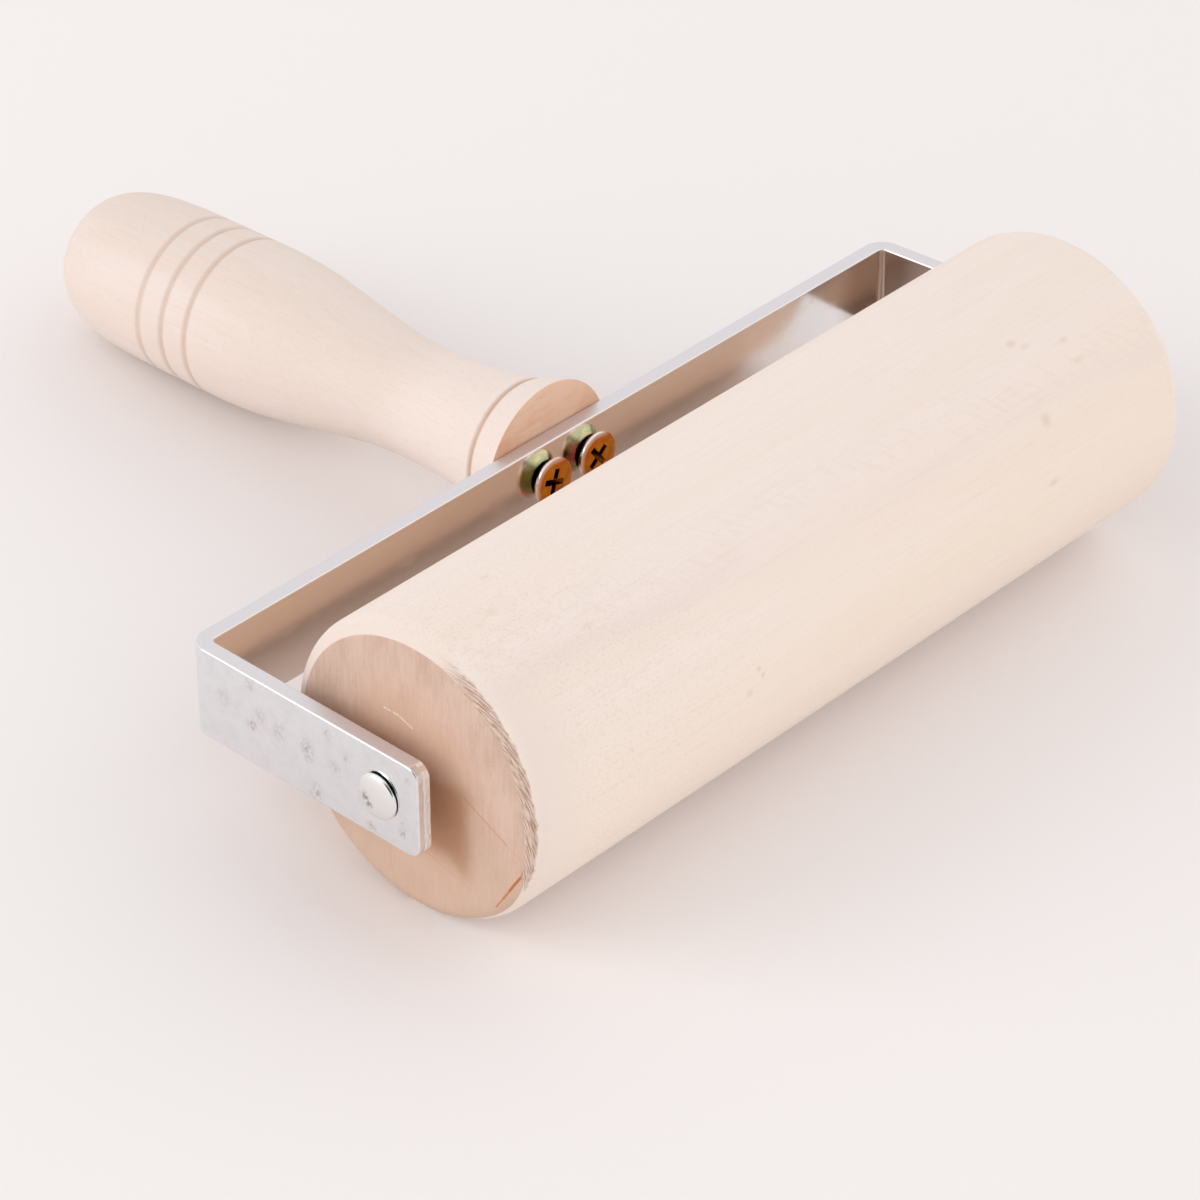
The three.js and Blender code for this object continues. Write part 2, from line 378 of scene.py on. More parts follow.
rollerLow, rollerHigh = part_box("roller")
leftPinLow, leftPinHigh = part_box("axle_pin_left")
rightPinLow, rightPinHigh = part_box("axle_pin_right")
roller = {
    "half": (rollerHigh.x - rollerLow.x) / 2,
    "radius": (rollerHigh.z - rollerLow.z) / 2,
    "edgeRound": 3.0 * mm,
    "edgeSteps": 8,
    "faceRing": 0.6 * mm,  # keeps the end faces flat up to the round edge
    "sides": 192,
    "flatness": 0.999,  # tells the flat ends from the round edge
    "boreRadius": 2.55 * mm,
    "boreEndGap": 1.0 * mm,
}


def makeRoller():
    half = roller["half"]
    radius = roller["radius"]
    piece = addRod("roller_turned", radius, axle - axisX * half, axle + axisX * half, roller["sides"])
    pickEdges(piece, lambda a, b: abs(a.x - b.x) < half)
    bpy.ops.mesh.bevel(offset=roller["edgeRound"], segments=roller["edgeSteps"], affect="EDGES")
    faceRadius = radius - roller["edgeRound"]
    for outward, pinTip in ((-1, leftPinHigh.x), (1, rightPinLow.x)):
        axis = axisX * outward
        pickFaces(piece, lambda centre, normal: normal.dot(axis) > roller["flatness"])
        depth = (rollerLow.x if outward < 0 else rollerHigh.x) - pinTip
        bottom = half - abs(depth) - roller["boreEndGap"]
        drawOut(axle, axis, [
            (half, faceRadius),
            (half, faceRadius - roller["faceRing"]),
            (half, roller["boreRadius"]),
            (bottom, roller["boreRadius"]),
        ])
    finishMesh(piece)
    return piece


rollerWood = {
    "pale": (0.887, 0.774, 0.711),
    "warm": ((0.872, 0.75, 0.666), 0.38, 0.64),  # a colour, where it begins, where it is full, its share
    "rosy": (0.838, 0.715, 0.652),
    "straw": (0.867, 0.74, 0.622),
    # painted shade: darker, more saturated wood for the roller's shadowed back
    "paintedBackShade": (0.86, 0.6, 0.42),
    "pore": (0.66, 0.5, 0.4),
    "fleck": (0.6, 0.4, 0.28),
    "endPale": (0.66, 0.475, 0.39),
    "endDark": ((0.56, 0.385, 0.295), 0.66, 1.08),
    "endPaintedBounce": ((0.615, 0.43, 0.315), 6, -14, 0.6),  # millimetres up from the axle; the end is painted warmer towards the bottom, as painted light bounced from the floor
    "paintedShadeRing": ((0.74, 0.475, 0.34), 18, 8, 0.6),  # millimetres from the axle, of the painted warm shade in a ring round the arm's end
    # painted shadow of the arm on the end face
    "paintedArmShadow": (0.46, 0.22, 0.11),
    "crack": (0.6, 0.27, 0.1),
    "gouge": (0.5, 0.15, 0.05),
    "hair": (0.9, 0.8, 0.73),
    "tornDark": (0.44, 0.265, 0.185),
    "tornPale": ((0.73, 0.575, 0.495), 0.41, 0.56),
    "edge": ((0.76, 0.645, 0.585), 5, 1, 0.7),  # the round edge is painted a little darker: painted shade against the soft box's light on it
    "handled": (0.83, 0.715, 0.64),
    "roughness": (0.55, 0.7),
    "heights": (0.2, 0.3, 2.0),  # of the side's grain, the end's grain and the torn fibres
    "depth": 0.1 * mm,
    "sideNoise": {  # scale per millimetre, detail, roughness, warp, shift
        "broad": ((0.007, 0.07, 0.07), 3.0),
        "lines": ((0.006, 0.8, 0.8), 3.0, 0.6),
        "fine": ((0.06, 2.8, 2.8), 3.0, 0.6),
        "fuzz": ((2.0, 2.8, 2.8), 2.0),
        "drift": ((0.03, 0.1, 0.1), 2.0),
        "patches": ((0.02, 0.12, 0.12), 2.0, 0.5, 0.0, (4, 9, 2)),
    },
    "endNoise": {
        "cloud": ((0.05, 0.2, 0.1), 3.0, 0.6),
        "dots": ((3.0, 3.0, 3.0), 2.0),
        "breaks": ((1.4, 1.4, 1.4), 1.0),
    },
    "rosyFade": (0.5, 0.75, 0.25),  # the same for colours that are used twice
    "poreFade": (0.48, 0.75),
    "poreShare": 0.12,
    "fuzzyFade": (-15, -60),  # millimetres along, where the side gets rougher to the left
    "fuzzyShares": (0.11, 0.3),
    "fuzzHeight": 0.4,
    "backShadeArea": (-140, 70),  # degrees from the top and reach, of the painted shade low at the back, where the wood is in shadow
    "backShadeWeights": (0.8, 1.0),
    "backShadeShares": (-0.2, 1.15),
    "frontGlowArea": (105, 60),  # and of the painted warm bounce light low at the front, which tints the wood yellower
    "frontGlowShare": 0.6,
    "streakPlace": 18.4,  # millimetres round from the top, of the darker streak at mid length
    "streakSlope": 0.067,
    "streakDrift": 5.0,
    "patchFade": (0.3, 0.6, 0.75),
    "darkBand": (-0.6, 4.5),  # millimetres beside the streak's line, reach, share
    "yellowBand": (3.6, 3.4, 0.4),
    "rippleBand": (-5.5, 6.0, 0.13),
    "rippleTurn": 45,
    "rippleNoise": ((1.1, 0.2, 0.3), 2.0, 0.5, 0.3),
    "rippleFade": (0.5, 0.7),
    "flecks": [  # along, degrees from the top, length, width, strength
        (-68.6, 49.5, 0.5, 0.5, 0.6),
        (-57.4, -10.2, 1.4, 1.0, 0.18),
        (-63.0, 5.2, 1.8, 0.9, 0.2),
        (-52.8, 28.0, 2.2, 0.8, 0.2),
        (-27.3, 73.9, 0.7, 0.7, 0.4),
        (-26.6, 77.0, 0.7, 0.7, 0.4),
        (-29.7, 80.7, 1.2, 0.9, 0.3),
        (46.2, 22.0, 1.6, 1.1, 0.32),
        (48.0, 25.5, 1.6, 0.9, 0.2),
        (55.1, 31.0, 1.6, 0.9, 0.22),
        (55.6, 40.0, 2.4, 0.8, 0.2),
        (43.5, 52.5, 1.6, 1.8, 0.3),
        (41.8, 75.5, 1.6, 0.9, 0.26),
    ],
    "endLean": 5,  # degrees, of the end grain's lines from upright
    "endLineNoise": ((0.3, 2.3, 0.3), 3.0, 0.6),
    "endWeights": (0.6, 0.35, 0.8),  # of its lines, dots and cloud
    "endHeights": (1.0, 0.5),  # of its lines and dots
    "armShadowPlace": (-1.5, -4.5),  # middle of the painted shadow of the arm, round the axle
    "armShadowReach": (9.5, 7.2),
    "armShadowRound": 3.0,
    "armShadowWave": 4.0,
    "armShadowFade": (2.0, -2.5, 0.8),
    "cracks": [  # (y, z) start, (y, z) end, width, strength, on the left end face
        ((-10.0, 1.5), (-18.2, -1.9), 0.2, 0.7),
        ((-18.2, -1.9), (-22.5, -3.6), 0.15, 0.3),
        ((-3.8, -12.2), (-12.5, -13.9), 0.2, 0.3),
    ],
    "gouges": [  # the same, for the deep scratch low on the rim
        ((-21.9, -3.7), (-21.0, -6.5), 0.16, 0.7),
        ((-21.1, -6.3), (-19.4, -9.6), 0.3, 1.0),
        ((-19.6, -9.3), (-18.3, -11.8), 0.26, 0.75),
        ((-18.4, -11.6), (-17.0, -14.2), 0.18, 0.7),
    ],
    "scratches": [  # start and end, for the fine pale scratch above the pin
        ((6.1, 8.6), (3.4, 8.75)),
        ((3.4, 8.75), (0.6, 8.0)),
    ],
    "scratchWidth": 0.24,
    "breakFade": (0.32, 0.5, 0.7),
    "endFade": (0.12, -0.12),
    "endEdges": (-2.2, -0.85),  # millimetres past the round edge's middle, at the front and the back
    "endBack": (-100, -140),  # degrees from the top, where the back begins
    "endLow": (82, 132),  # and where the end grain's edge moves over, low on either side
    "endLowShift": 2.5,
    "handledFade": (14, 3),  # millimetres from the left end, of the greyer wood at the front
    "handledFrom": (17.19, 51.57),  # degrees from the top
    "tornFrom": (4, 26.92),  # degrees from the top, where the left rim begins to be torn, and fully is
    "tornTo": (118, 103.68),
    "tornWidth": 2.1,  # millimetres outside the end grain's edge
    "tornNoise": ((0.3, 0.7, 0.3), 3.0, 0.6),
    "tornRagged": (-0.8, 0.8),
    "tornOuter": (0.35, -0.35),
    "tornInner": (-0.7, -0.1),
    "tornLean": -17,  # degrees, of the fibres to the rim
    "fibreNoise": ((0.35, 4.6, 1.0), 2.0, 0.6, 0.2),
}


def rollerArea(coords, place, reach):  # 1 along one line of the side, 0 past its reach
    radius = roller["radius"] / mm
    turn = math.radians(place)
    towards = dot(coords, Vector((0, -math.sin(turn), math.cos(turn))))
    return ramp(towards, radius * math.cos(math.radians(reach)), radius)


def rollerStreak(grain, colour, along, around, polar):  # dark, yellower beside it, ripples above
    look = rollerWood
    centre = plus(times(along, look["streakSlope"]), look["streakPlace"])
    drift = times(minus(grain["drift"], 0.5), look["streakDrift"])
    across = plus(minus(around, centre), drift)
    patchy = ramp(grain["patches"], *look["patchFade"])
    dark = times(bandShare(across, *look["darkBand"]), patchy)
    colour = paint(dark, colour, look["rosy"])
    colour = paint(bandShare(across, *look["yellowBand"]), colour, look["straw"])
    slant = turned(polar, (0, 0, look["rippleTurn"]))
    ripple = ramp(speckle(slant, *look["rippleNoise"]), *look["rippleFade"])
    ripple = times(ripple, bandShare(across, *look["rippleBand"]))
    return paint(ripple, colour, look["pore"])


def rollerSide(coords, along, around, polar):  # long grain on the turned side
    look = rollerWood
    radius = roller["radius"] / mm
    grain = speckles(coords, look["sideNoise"])
    colour = tint(look["pale"], grain["broad"], *look["warm"])
    colour = tint(colour, grain["lines"], look["rosy"], *look["rosyFade"])
    # painted shade low at the back, broken up by the grain
    streaks = weigh((grain["broad"], grain["lines"]), look["backShadeWeights"])
    paintedBackShade = calc("MULTIPLY", rollerArea(coords, *look["backShadeArea"]),
                 between(streaks, *look["backShadeShares"]), clamp=True)
    colour = paint(paintedBackShade, colour, look["paintedBackShade"])
    # painted warm bounce light, yellower low at the front
    straw = times(rollerArea(coords, *look["frontGlowArea"]), look["frontGlowShare"])
    colour = paint(straw, colour, look["straw"])
    colour = rollerStreak(grain, colour, along, around, polar)
    fuzzy = between(ramp(along, *look["fuzzyFade"]), *look["fuzzyShares"])
    for name, share in (("fine", look["poreShare"]), ("fuzz", fuzzy)):
        colour = tint(colour, grain[name], look["pore"], *look["poreFade"], share)
    for place, angle, reach, width, strength in look["flecks"]:
        turn = math.radians(angle)
        spotPlace = (place, -radius * math.sin(turn), radius * math.cos(turn))
        spot = spotShare(coords, spotPlace, (reach, width, width))
        colour = paint(times(spot, strength), colour, look["fleck"])
    return colour, plus(grain["fine"], times(grain["fuzz"], look["fuzzHeight"]))


def rollerArmShadow(cloud, sideways, up):  # a rounded, wavy painted shadow of the arm on the end
    look = rollerWood
    beside, above = (
        minus(apart(value, middle), reach)
        for value, middle, reach in zip((sideways, up), look["armShadowPlace"], look["armShadowReach"]))
    outside = feed("Math", {0: beside, 1: above, 2: look["armShadowRound"]}, operation="SMOOTH_MAX")
    wavy = times(minus(cloud, 0.5), look["armShadowWave"])
    return ramp(plus(outside.outputs["Value"], wavy), *look["armShadowFade"])


def rollerEnd(coords, flat, leftEnd):  # end grain with upright lines, and the left end's marks
    look = rollerWood
    face = -roller["half"] / mm
    _, sideways, up = split(flat)
    grain = speckles(coords, look["endNoise"])
    lines = speckle(turned(coords, (look["endLean"], 0, 0)), *look["endLineNoise"])
    tone = weigh((lines, grain["dots"], grain["cloud"]), look["endWeights"])
    colour = tint(look["endPale"], tone, *look["endDark"])
    # painted bounce light: warmer towards the bottom of the end
    colour = tint(colour, up, *look["endPaintedBounce"])
    # painted shade: a warm ring round the axle, where the arm shades the end
    colour = tint(colour, length(flat), *look["paintedShadeRing"])
    # painted shadow of the arm, beside the axle
    paintedArmShadow = rollerArmShadow(grain["cloud"], sideways, up)
    colour = paint(paintedArmShadow, colour, look["paintedArmShadow"])
    for start, stop, width, strength in look["cracks"]:
        crack = lineShare(coords, (face, *start), (face, *stop), width)
        colour = paint(times(crack, strength), colour, look["crack"])
    for start, stop, width, strength in look["gouges"]:
        gouge = lineShare(flat, (0, *start), (0, *stop), width)
        colour = paint(times(gouge, leftEnd, strength), colour, look["gouge"])
    broken = ramp(grain["breaks"], *look["breakFade"])
    for start, stop in look["scratches"]:
        scratch = lineShare(coords, (face, *start), (face, *stop), look["scratchWidth"])
        colour = paint(times(scratch, broken), colour, look["hair"])
    return colour, weigh((lines, grain["dots"]), look["endHeights"])


def rollerEndEdge(angle):  # where the end grain stops on the round edge, 0 at its middle
    look = rollerWood
    low = turnRamp(calc("ABSOLUTE", angle), *look["endLow"])
    edge = between(turnRamp(angle, *look["endBack"]), *look["endEdges"])
    return plus(edge, times(low, look["endLowShift"]))


def rollerTear(angle, around, leftEnd, polar, past):  # torn fibres along the left rim
    look = rollerWood
    begun = turnRamp(angle, *look["tornFrom"])
    ended = turnRamp(angle, *look["tornTo"])
    ragged = between(speckle(polar, *look["tornNoise"]), *look["tornRagged"])
    narrowing = turnRamp(angle, *look["endLow"])
    width = plus(ragged, between(narrowing, look["tornWidth"], 0.0))
    outer = ramp(minus(past, width), *look["tornOuter"])
    inner = ramp(past, *look["tornInner"])
    leaning = turned(join(around, past), (0, 0, look["tornLean"]))
    fibre = speckle(leaning, *look["fibreNoise"])
    return times(begun, ended, leftEnd, inner, outer), fibre


def makeRollerWood():
    look = rollerWood
    radius = roller["radius"] / mm
    material, shader = newMaterial("rollerWood")
    coords = pieceCoords(shader, rollerPlace)
    along, sideways, up = split(coords)
    flat = join(y=sideways, z=up)
    away = length(flat)
    angle = calc("ARCTAN2", times(sideways, -1.0), up)
    around = times(angle, radius)  # millimetres round from the top, towards the front
    polar = join(along, around, away)
    leftEnd = calc("LESS_THAN", along, 0.0)
    side, sideHeight = rollerSide(coords, along, around, polar)
    end, endHeight = rollerEnd(coords, flat, leftEnd)

    inset = minus(roller["half"] / mm, calc("ABSOLUTE", along))
    across = minus(inset, minus(radius, away))
    past = minus(across, rollerEndEdge(angle))
    torn, fibre = rollerTear(angle, around, leftEnd, polar, past)
    isEnd = ramp(past, *look["endFade"])
    # painted shade on the round edge
    side = tint(side, past, *look["edge"])
    handled = times(ramp(inset, *look["handledFade"]), turnRamp(angle, *look["handledFrom"]), leftEnd)
    side = paint(handled, side, look["handled"])
    colour = paint(isEnd, side, end)
    fibres = tint(look["tornDark"], fibre, *look["tornPale"])
    colour = paint(torn, colour, fibres)
    roughness = between(sideHeight, *look["roughness"])
    grains = (sideHeight, times(endHeight, isEnd), times(fibre, torn))
    height = weigh(grains, look["heights"])
    coat(shader, colour, roughness, height, look["depth"], bareWood)
    return material


rollerPiece = makeRoller()
dress(rollerPiece, makeRollerWood(), "roller", "roller")
print("roller turned")


# Axle pins

pin = {
    "radius": 2.25 * mm,
    "tipChamfer": 0.8 * mm,
    "headRadius": 3.7 * mm,
    "headHeight": 1.0 * mm,
    "headBulge": 2.4,  # 2 is an ellipse, more is flatter with a fuller shoulder
    "edgeRound": 0.08 * mm,
    "domeSteps": 24,
    "sides": 96,
}


def makePin():
    reach = leftPinHigh.x - leftPinLow.x
    shank = reach - pin["headHeight"]
    dome = pin["headHeight"] - pin["edgeRound"]
    power = 2 / pin["headBulge"]
    radius = pin["radius"]
    headRadius = pin["headRadius"]
    rings = [
        (0, radius - pin["tipChamfer"]),
        (pin["tipChamfer"], radius),
        (shank, radius),
        (shank, headRadius - pin["edgeRound"]),
        (shank + pin["edgeRound"], headRadius),
    ]
    for step in range(1, pin["domeSteps"]):
        angle = math.pi / 2 * step / pin["domeSteps"]
        along = shank + pin["edgeRound"] + dome * math.sin(angle) ** power
        rings.append((along, headRadius * math.cos(angle) ** power))
    origin = Vector((leftPinHigh.x, axle.y, axle.z))
    piece = turnPiece("axle_pin_left_turned", origin, -axisX, rings, pin["sides"])
    finishMesh(piece)
    return piece


pinSteel = {
    "bright": (0.87, 0.865, 0.845),
    "stain": (0.4, 0.37, 0.335),
    "roughness": (0.08, 0.35),
    "depth": 0.004 * mm,
    "noise": {
        "haze": ((0.5, 0.5, 0.5), 4.0, 0.6),
        "specks": ((2.2, 2.2, 2.2), 3.0),
        "ragged": ((1.8, 1.8, 1.8), 3.0, 0.6),
    },
    "hazeFade": (0.5, 0.75, 0.4),
    "speckFade": (0.66, 0.76, 0.4),
    "raggedFade": (0.36, 0.58, 1.6),
    "stains": [  # from the axle, and its size
        ((-82.2, 1.6, -0.4), (3, 1.2, 1.4)),
        ((-82.2, 0.8, -1.4), (3, 1.2, 1.1)),
    ],
}


def makePinSteel():
    look = pinSteel
    material, shader = newMaterial("pinSteel")
    coords = pieceCoords(shader, rollerPlace)
    noise = speckles(coords, look["noise"])
    haze = noise["haze"]
    ragged = ramp(noise["ragged"], *look["raggedFade"])
    dirt = ramp(noise["specks"], *look["speckFade"])
    for place, size in look["stains"]:
        stain = times(spotShare(coords, place, size), ragged)
        dirt = calc("MAXIMUM", dirt, stain, clamp=True)
    colour = paint(dirt, look["bright"], look["stain"])
    patchy = calc("MAXIMUM", dirt, ramp(haze, *look["hazeFade"]))
    roughness = between(patchy, *look["roughness"])
    coat(shader, colour, roughness, haze, look["depth"], metal)
    return material


steel = makePinSteel()
leftPin = makePin()
middleX = (leftPinLow.x + rightPinHigh.x) / 2
swapEnds = Matrix.Translation((2 * middleX, 2 * axle.y, 0)) @ Matrix.Rotation(math.pi, 4, "Z")
rightPin = copyPiece(leftPin, "axle_pin_right_turned", swapEnds)
dress(leftPin, steel, "roller", "axle_pin_left")
dress(rightPin, steel, "roller", "axle_pin_right")
print("axle pins turned")


# Bracket, in the held frame: x along the roller from its middle, y towards the handle, z up

bracket = {
    "width": 15.2 * mm,
    "thickness": 2.6 * mm,
    "bendOutside": 3.6 * mm,
    "bendSteps": 12,
    "backOutside": 40.2 * mm,  # from the axle to the strip's back
    "armPastAxle": 7.8 * mm,
    "endRound": 2.2 * mm,
    "endSteps": 8,
    "edgeRound": 0.25 * mm,
    "edgeSteps": 3,
    "edgeAngle": 40,  # degrees, sharper edges are rounded
    "flatness": 0.9999,  # tells the strip's ends from the bends
    "endMargin": 1 * mm,
    "axleHoleRadius": 2.5 * mm,
    "screwHoleRadius": 2.75 * mm,
    "holeSides": 48,
}
pinHeadGap = 0.3 * mm
leftArm = leftPinLow.x - axle.x + pin["headHeight"] + pinHeadGap  # its outer side, at the axle
rightArm = rightPinHigh.x - axle.x - pin["headHeight"] - pinHeadGap
bracketMiddle = (leftArm + rightArm) / 2
screw = {
    "spacing": 10 * mm,
    "lift": 1.8 * mm,  # handle and screws sit above the strip's middle
}
screwPlaces = [bracketMiddle - screw["spacing"] / 2, bracketMiddle + screw["spacing"] / 2]


def makeBracket():
    size = bracket
    radius = size["bendOutside"]
    back = size["backOutside"]
    slope = math.tan(armSplay)
    inset = radius / math.cos(armSplay) - slope * radius
    bendY = back - radius
    leftBend = leftArm + slope * back + inset
    rightBend = rightArm - slope * back - inset
    pickNothing()
    stripMiddle = ((leftBend + rightBend) / 2, back - size["thickness"] / 2, 0)
    bpy.ops.mesh.primitive_cube_add(size=1, location=stripMiddle)
    bpy.context.object.scale = (rightBend - leftBend, size["thickness"], size["width"])
    piece = settle("bracket_bent")
    armLength = (bendY + radius * math.sin(armSplay) + size["armPastAxle"]) / math.cos(armSplay)
    for side, bendX in ((-1, leftBend), (1, rightBend)):
        pickFaces(piece, lambda centre, normal: normal.x * side > size["flatness"])
        bpy.ops.mesh.spin(steps=size["bendSteps"], angle=side * (math.pi / 2 - armSplay),
                          center=(bendX, bendY, 0), axis=(0, 0, 1))
        armAxis = Vector((side * math.sin(armSplay), -math.cos(armSplay), 0))
        extrude(armAxis * armLength)
    freeEnd = size["endMargin"] - size["armPastAxle"]
    pickEdges(piece, lambda a, b: a.y < freeEnd and b.y < freeEnd and abs(a.z - b.z) < weldGap)
    bpy.ops.mesh.bevel(offset=size["endRound"], segments=size["endSteps"], affect="EDGES")
    mendMesh(piece)
    sides = size["holeSides"]
    drill = addRod("axleDrill", size["axleHoleRadius"], axisX * leftArm * 2, axisX * rightArm * 2, sides)
    combine(piece, drill, "DIFFERENCE")
    for x in screwPlaces:
        start = Vector((x, back - 2 * size["thickness"], screw["lift"]))
        stop = start + axisY * 3 * size["thickness"]
        drill = addRod("screwDrill", size["screwHoleRadius"], start, stop, sides)
        combine(piece, drill, "DIFFERENCE")
    finishMesh(piece)
    applyModifier(piece, "BEVEL", width=size["edgeRound"], segments=size["edgeSteps"],
                  limit_method="ANGLE", angle_limit=math.radians(size["edgeAngle"]), harden_normals=True)
    applyModifier(piece, "WEIGHTED_NORMAL", keep_sharp=True)
    placePiece(piece, heldPlace)
    return piece


zinc = {
    "bright": (0.835, 0.835, 0.855),
    "dull": ((0.79, 0.79, 0.805), 0.4, 0.7),
    # the inner faces are painted warm: a painted reflection of the shadowed wood
    "inside": (0.93, 0.89, 0.865),
    "paintedFarReflection": ((0.985, 0.985, 0.99), 36, 46),  # millimetres along, where the inside is painted paler: a painted reflection of the lit floor past the roller's far end
    "cornerShade": ((0.7, 0.64, 0.6), 63, 70),  # and painted darker at the far bend: painted shade
    # painted shade on the far arm's inner face
    "farArmShade": (0.63, 0.57, 0.54),
    "rim": (0.73, 0.7, 0.725),
    # painted highlight: the bevelled edges are painted near white
    "paintedEdgeHighlight": (0.95, 0.95, 0.96),
    "stain": (0.4, 0.345, 0.29),
    "roughness": (0.12, 0.45),
    "heights": (0.04, 2.0),  # of the cloud and of the broken ends
    "depth": 0.1 * mm,
    "noise": {
        "cloud": ((0.12, 0.12, 0.12), 4.0, 0.6),
        "mottle": ((0.5, 0.5, 0.5), 4.0, 0.6),
        "grit": ((1.5, 1.5, 1.5), 4.0, 0.65),
        "tear": ((2.5, 2.5, 0.9), 3.0, 0.6),
    },
    "roughFade": (0.45, 0.75, 0.2),
    "gritFade": (0.66, 0.78),
    "cloudFade": (0.45, 0.65, 0.5),
    "raggedFade": (0.38, 0.64, 1.2),
    "dirtShare": 0.8,
    "farArmShadeFrom": (-1.5, -0.3),  # millimetres past the arm's inner face, where the painted shade begins
    "edgeFrom": (7.3, 7.5),  # millimetres from the strip's middle, of its dull edges, inside and out
    "edgeFade": 0.08,
    "rimFrom": (0.08, 0.01),  # millimetres short of the strip's cut sides
    "shearedFrom": (-7.3, -7.5),  # millimetres from the axle, where the cut ends begin
    "shearedShare": 0.5,
    "fracture": (1.4, 1.2),  # millimetres past the arm's inner face, broken rather than sheared
    "stains": [  # from the axle towards the handle, up, size, strength, on the left arm's outside
        (26.6, -0.6, 1.6, 1.0),
        (26.7, 6.1, 1.5, 0.6),
        (24.7, 1.6, 1.8, 0.5),
        (20.7, 0.8, 2.4, 0.5),
        (15.0, 0.9, 2.2, 0.8),
        (14.6, -0.8, 1.4, 0.8),
        (10.6, 5.5, 1.6, 0.5),
        (6.5, 2.9, 1.2, 0.6),
        (13.4, -6.0, 2.4, 0.7),
        (9.1, 0.0, 2.2, 0.4),
        (1.9, -6.4, 1.6, 0.5),
        (-4.5, -2.8, 0.7, 1.0),
        (-4.6, -4.4, 1.4, 0.7),
        (-5.9, 5.2, 1.0, 0.4),
        (32.5, 1.3, 2.5, 0.4),
    ],
}


def makeZinc():
    look = zinc
    material, shader = newMaterial("zincSteel")
    coords = pieceCoords(shader, heldPlace)
    across, along, up = split(coords)
    noise = speckles(coords, look["noise"])
    middle = bracketMiddle / mm
    armThickness = bracket["thickness"] / math.cos(armSplay) / mm  # measured along the roller
    innerFace = (rightArm - bracketMiddle) / mm - armThickness
    splayed = plus(apart(across, middle), times(along, math.tan(armSplay)))
    intoArm = minus(splayed, innerFace)  # 0 on the arms' inner faces
    innerHalf = calc("LESS_THAN", intoArm, armThickness / 2)
    backMiddle = (bracket["backOutside"] - bracket["thickness"] / 2) / mm
    beforeBack = calc("LESS_THAN", along, backMiddle)
    leftSide = calc("LESS_THAN", across, middle)
    outside = times(leftSide, opposite(innerHalf))
    toSides = calc("ABSOLUTE", up)
    pastEdge = minus(toSides, between(outside, *look["edgeFrom"]))
    cutEdge = ramp(pastEdge, 0.0, look["edgeFade"])
    inner = times(innerHalf, beforeBack, opposite(cutEdge))

    dirt = times(ramp(noise["grit"], *look["gritFade"]), ramp(noise["cloud"], *look["cloudFade"]))
    ragged = ramp(noise["grit"], *look["raggedFade"])
    flat = join(y=along, z=up)
    for place, lift, size, strength in look["stains"]:
        spot = spotShare(flat, (0, place, lift), (1, size, size))
        stain = times(spot, ragged, outside, strength)
        dirt = calc("MAXIMUM", dirt, stain, clamp=True)
    colour = tint(look["bright"], noise["mottle"], *look["dull"])
    # painted reflection on the inner faces: warm from the shadowed wood, paler far along where the lit floor shows
    inside = tint(look["inside"], across, *look["paintedFarReflection"])
    # painted shade at the far bend
    inside = tint(inside, across, *look["cornerShade"])
    # painted shade on the far arm's inner face
    farArmShade = times(opposite(leftSide), ramp(intoArm, *look["farArmShadeFrom"]))
    inside = paint(farArmShade, inside, look["farArmShade"])
    colour = paint(inner, colour, inside)
    # painted highlight along the bevelled edges
    colour = paint(cutEdge, colour, look["paintedEdgeHighlight"])
    rimFrom = [bracket["width"] / 2 / mm - gap for gap in look["rimFrom"]]
    colour = tint(colour, toSides, look["rim"], *rimFrom)
    colour = paint(times(dirt, look["dirtShare"]), colour, look["stain"])

    # the free ends are sheared, and broken rough on the inner part
    sheared = ramp(along, *look["shearedFrom"])
    tearing = plus(intoArm, minus(noise["tear"], 0.5))
    broken = times(sheared, ramp(tearing, *look["fracture"]))
    patchy = ramp(noise["mottle"], *look["roughFade"])
    for share in (dirt, broken, cutEdge, times(sheared, look["shearedShare"])):
        patchy = calc("MAXIMUM", patchy, share)
    roughness = between(patchy, *look["roughness"])
    height = weigh((noise["cloud"], times(noise["tear"], broken)), look["heights"])
    coat(shader, colour, roughness, height, look["depth"], metal)
    return material


bracketPiece = makeBracket()
dress(bracketPiece, makeZinc(), "frame", "bracket")
print("bracket bent")


# Wood screws, in the held frame

screw.update({
    "length": 18 * mm,
    "threadRadius": 2.0 * mm,
    "coreRadius": 1.35 * mm,
    "pitch": 1.8 * mm,
    "ridgeReach": 1.15,  # of the ridge's height, so that it bites into the core
    "ridgeSquash": 0.75,
    "threadSteps": 24,
    "tip": 4 * mm,
    "pointRadius": 0.08 * mm,
    "headRadius": 4.0 * mm,
    "headRim": 0.5 * mm,
    "edgeRound": 0.12 * mm,
    "edgeMiddle": 0.3,  # of the round, where its middle ring stands
    "smoothAngle": 28,
    "proud": 2.168 * mm,  # the head stands off the strip, seated in a plain hole
    "sides": 64,
    "recessSpan": 4.4 * mm,
    "recessWing": 1.0 * mm,
    "recessDepth": 1.7 * mm,
    "recessTip": 1.4 * mm,
    "recessTurns": (18, 52),  # degrees, one for each screw
})


